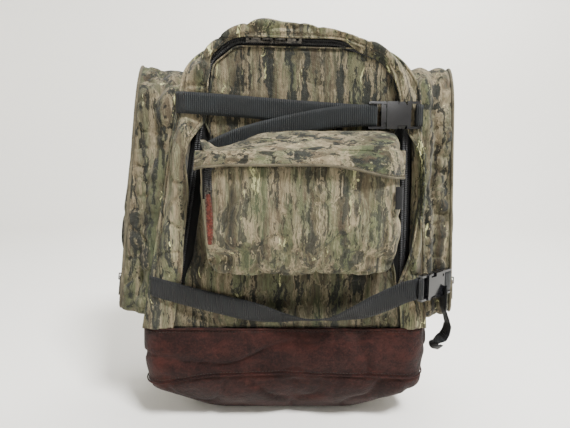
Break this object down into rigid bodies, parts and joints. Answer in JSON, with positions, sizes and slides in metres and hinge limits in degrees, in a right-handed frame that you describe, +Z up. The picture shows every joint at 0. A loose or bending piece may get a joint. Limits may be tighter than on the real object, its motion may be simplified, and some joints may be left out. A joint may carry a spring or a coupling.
{
  "type": "hunting backpack",
  "caption": "Arch-topped canvas backpack on a leather base, with a folding zipped front top, side pockets, a flapped front pocket, buckled straps and padded shoulder straps.",
  "frame": {"origin": "on the floor under the middle of the leather base", "axes": "+Z up, -Y towards the front pocket, +Y towards the wearer's back, +X to the right of someone facing the front"},
  "size_m": [0.5062, 0.2642, 0.5344],
  "materials": {
    "canvas": "printed woven canvas",
    "leather": "suede, scuffed",
    "pull_leather": "smooth",
    "zip": "coil on woven tape",
    "slider_metal": "semi-gloss",
    "buckle_plastic": "moulded, glossy",
    "webbing": "ribbed woven",
    "piping": "folded edge",
    "label": "woven",
    "padding": "foam under mesh and canvas",
    "stiffener": "flat sheet"
  },
  "bodies": {
    "root": {"gusset_band": "canvas", "front_frame": "canvas", "opening_welt": "piping", "front_panel_lower": "canvas", "back_panel": "canvas", "back_stiffener": "stiffener", "back_pad": "padding", "leather_base": "leather", "leather_band": "leather", "main_zip_outer": "zip", "main_zip_lower": "zip", "left_pocket_wall": "canvas", "left_pocket_face": "canvas", "left_pocket_zip": "zip", "right_pocket_wall": "canvas", "right_pocket_face": "canvas", "right_pocket_zip": "zip", "side_pocket_piping": "piping", "front_pocket_tub": "canvas", "front_pocket_top": "canvas", "front_pocket_zip": "zip", "label_tab": "label", "upper_strap": "webbing", "upper_strap_stub": "webbing", "lower_strap": "webbing", "lower_strap_end": "webbing", "adjuster_webbing": "webbing", "shoulder_yoke": "padding", "upper_buckle_male": "buckle_plastic", "upper_buckle_female": "buckle_plastic", "lower_buckle_male": "buckle_plastic", "lower_buckle_female": "buckle_plastic"},
    "front_top": {"front_panel_upper": "canvas", "main_zip_upper": "zip"},
    "main_slider_left": {"main_slider_left": "slider_metal"},
    "main_pull_left": {"main_pull_left": "slider_metal"},
    "main_slider_right": {"main_slider_right": "slider_metal"},
    "main_pull_right": {"main_pull_right": "slider_metal"},
    "left_pocket_door": {"left_pocket_door": "canvas", "left_door_zip": "zip"},
    "left_pocket_slider": {"left_pocket_slider": "slider_metal"},
    "left_pocket_pull": {"left_pocket_pull": "slider_metal"},
    "right_pocket_door": {"right_pocket_door": "canvas", "right_door_zip": "zip"},
    "right_pocket_slider": {"right_pocket_slider": "slider_metal"},
    "right_pocket_pull": {"right_pocket_pull": "slider_metal"},
    "front_pocket_slider": {"front_pocket_slider": "slider_metal"},
    "front_pocket_pull": {"front_pocket_pull": "slider_metal", "leather_pull": "pull_leather"},
    "front_pocket_flap": {"front_pocket_flap": "canvas"},
    "upper_prong_a": {"upper_prong_a": "buckle_plastic"},
    "upper_prong_b": {"upper_prong_b": "buckle_plastic"},
    "lower_prong_a": {"lower_prong_a": "buckle_plastic"},
    "lower_prong_b": {"lower_prong_b": "buckle_plastic"},
    "lower_strap_tail": {"lower_strap_tail": "webbing"},
    "left_shoulder_pad": {"left_shoulder_pad": "padding"},
    "left_ladder_lock": {"left_ladder_lock": "buckle_plastic"},
    "right_shoulder_pad": {"right_shoulder_pad": "padding"},
    "right_ladder_lock": {"right_ladder_lock": "buckle_plastic"}
  },
  "joints": [
    {"name": "front_top_fold", "type": "hinge", "parent": "root", "child": "front_top", "pos_m": [0, -0.0915, 0.4385], "axis": [1, 0, 0], "range_deg": [0, 85]},
    {"name": "main_slider_left_run", "type": "slide", "parent": "root", "child": "main_slider_left", "axis": [-0.9997, 0, 0.0246], "range_m": [0, 0.02]},
    {"name": "main_pull_left_hinge", "type": "hinge", "parent": "main_slider_left", "child": "main_pull_left", "pos_m": [-0.0205, -0.0945, 0.49303], "axis": [0.0246, 0, 0.9997], "range_deg": [0, 160]},
    {"name": "main_slider_right_run", "type": "slide", "parent": "root", "child": "main_slider_right", "axis": [0.9997, 0, -0.0246], "range_m": [0, 0.045]},
    {"name": "main_pull_right_hinge", "type": "hinge", "parent": "main_slider_right", "child": "main_pull_right", "pos_m": [-0.0055, -0.0945, 0.49266], "axis": [-0.0246, 0, -0.9997], "range_deg": [0, 160]},
    {"name": "left_door_hinge", "type": "hinge", "parent": "root", "child": "left_pocket_door", "pos_m": [-0.2307, -0.00012, 0.20863], "axis": [0.2399, -0.9703, -0.0311], "range_deg": [0, 80]},
    {"name": "left_pocket_slider_run", "type": "slide", "parent": "root", "child": "left_pocket_slider", "axis": [0.1285, 0, 0.9917], "range_m": [0, 0.15]},
    {"name": "left_pocket_pull_hinge", "type": "hinge", "parent": "left_pocket_slider", "child": "left_pocket_pull", "pos_m": [-0.21908, -0.06332, 0.19976], "axis": [-0.2399, 0.9703, 0.0311], "range_deg": [0, 160]},
    {"name": "right_door_hinge", "type": "hinge", "parent": "root", "child": "right_pocket_door", "pos_m": [0.23495, -0.00012, 0.20204], "axis": [0.2417, 0.9703, 0.0097], "range_deg": [0, 80]},
    {"name": "right_pocket_slider_run", "type": "slide", "parent": "root", "child": "right_pocket_slider", "axis": [-0.0399, 0, 0.9992], "range_m": [0, 0.15]},
    {"name": "right_pocket_pull_hinge", "type": "hinge", "parent": "right_pocket_slider", "child": "right_pocket_pull", "pos_m": [0.22259, -0.06332, 0.19424], "axis": [-0.2417, -0.9703, -0.0097], "range_deg": [0, 160]},
    {"name": "front_pocket_slider_run", "type": "slide", "parent": "root", "child": "front_pocket_slider", "axis": [0, 0, 1], "range_m": [0, 0.014]},
    {"name": "front_pocket_pull_hinge", "type": "hinge", "parent": "front_pocket_slider", "child": "front_pocket_pull", "pos_m": [-0.085, -0.1435, 0.32], "axis": [-1, 0, 0], "range_deg": [0, 80]},
    {"name": "front_pocket_flap_hinge", "type": "hinge", "parent": "root", "child": "front_pocket_flap", "pos_m": [0, -0.1445, 0.3632], "axis": [-1, 0, 0], "range_deg": [0, 75]},
    {"name": "upper_prong_a_squeeze", "type": "hinge", "parent": "root", "child": "upper_prong_a", "pos_m": [0.1173, -0.098, 0.4167], "axis": [0, 1, 0], "range_deg": [0, 6], "stiffness_Nm_per_rad": 0.05, "springref_deg": -2.86},
    {"name": "upper_prong_b_squeeze", "type": "hinge", "parent": "root", "child": "upper_prong_b", "pos_m": [0.1173, -0.098, 0.3953], "axis": [0, -1, 0], "range_deg": [0, 6], "stiffness_Nm_per_rad": 0.05, "springref_deg": -2.86},
    {"name": "lower_prong_a_squeeze", "type": "hinge", "parent": "root", "child": "lower_prong_a", "pos_m": [0.1948, -0.09624, 0.1903], "axis": [-0.6157, 0.788, 0], "range_deg": [0, 6], "stiffness_Nm_per_rad": 0.05, "springref_deg": -2.86},
    {"name": "lower_prong_b_squeeze", "type": "hinge", "parent": "root", "child": "lower_prong_b", "pos_m": [0.1948, -0.09624, 0.2117], "axis": [0.6157, -0.788, 0], "range_deg": [0, 6], "stiffness_Nm_per_rad": 0.05, "springref_deg": -2.86},
    {"name": "lower_strap_tail_swing", "type": "hinge", "parent": "root", "child": "lower_strap_tail", "pos_m": [0.196, -0.094, 0.1845], "axis": [0, 1, 0], "range_deg": [-35, 12]},
    {"name": "left_shoulder_swing", "type": "hinge", "parent": "root", "child": "left_shoulder_pad", "pos_m": [0, 0.112, 0.451], "axis": [1, 0, 0], "range_deg": [0, 40]},
    {"name": "left_ladder_lock_hinge", "type": "hinge", "parent": "left_shoulder_pad", "child": "left_ladder_lock", "pos_m": [-0.11395, 0.111, 0.20865], "axis": [1, 0, 0], "range_deg": [-15, 15]},
    {"name": "right_shoulder_swing", "type": "hinge", "parent": "root", "child": "right_shoulder_pad", "pos_m": [0, 0.112, 0.451], "axis": [1, 0, 0], "range_deg": [0, 40]},
    {"name": "right_ladder_lock_hinge", "type": "hinge", "parent": "right_shoulder_pad", "child": "right_ladder_lock", "pos_m": [0.13005, 0.111, 0.20865], "axis": [1, 0, 0], "range_deg": [-15, 15]}
  ]
}
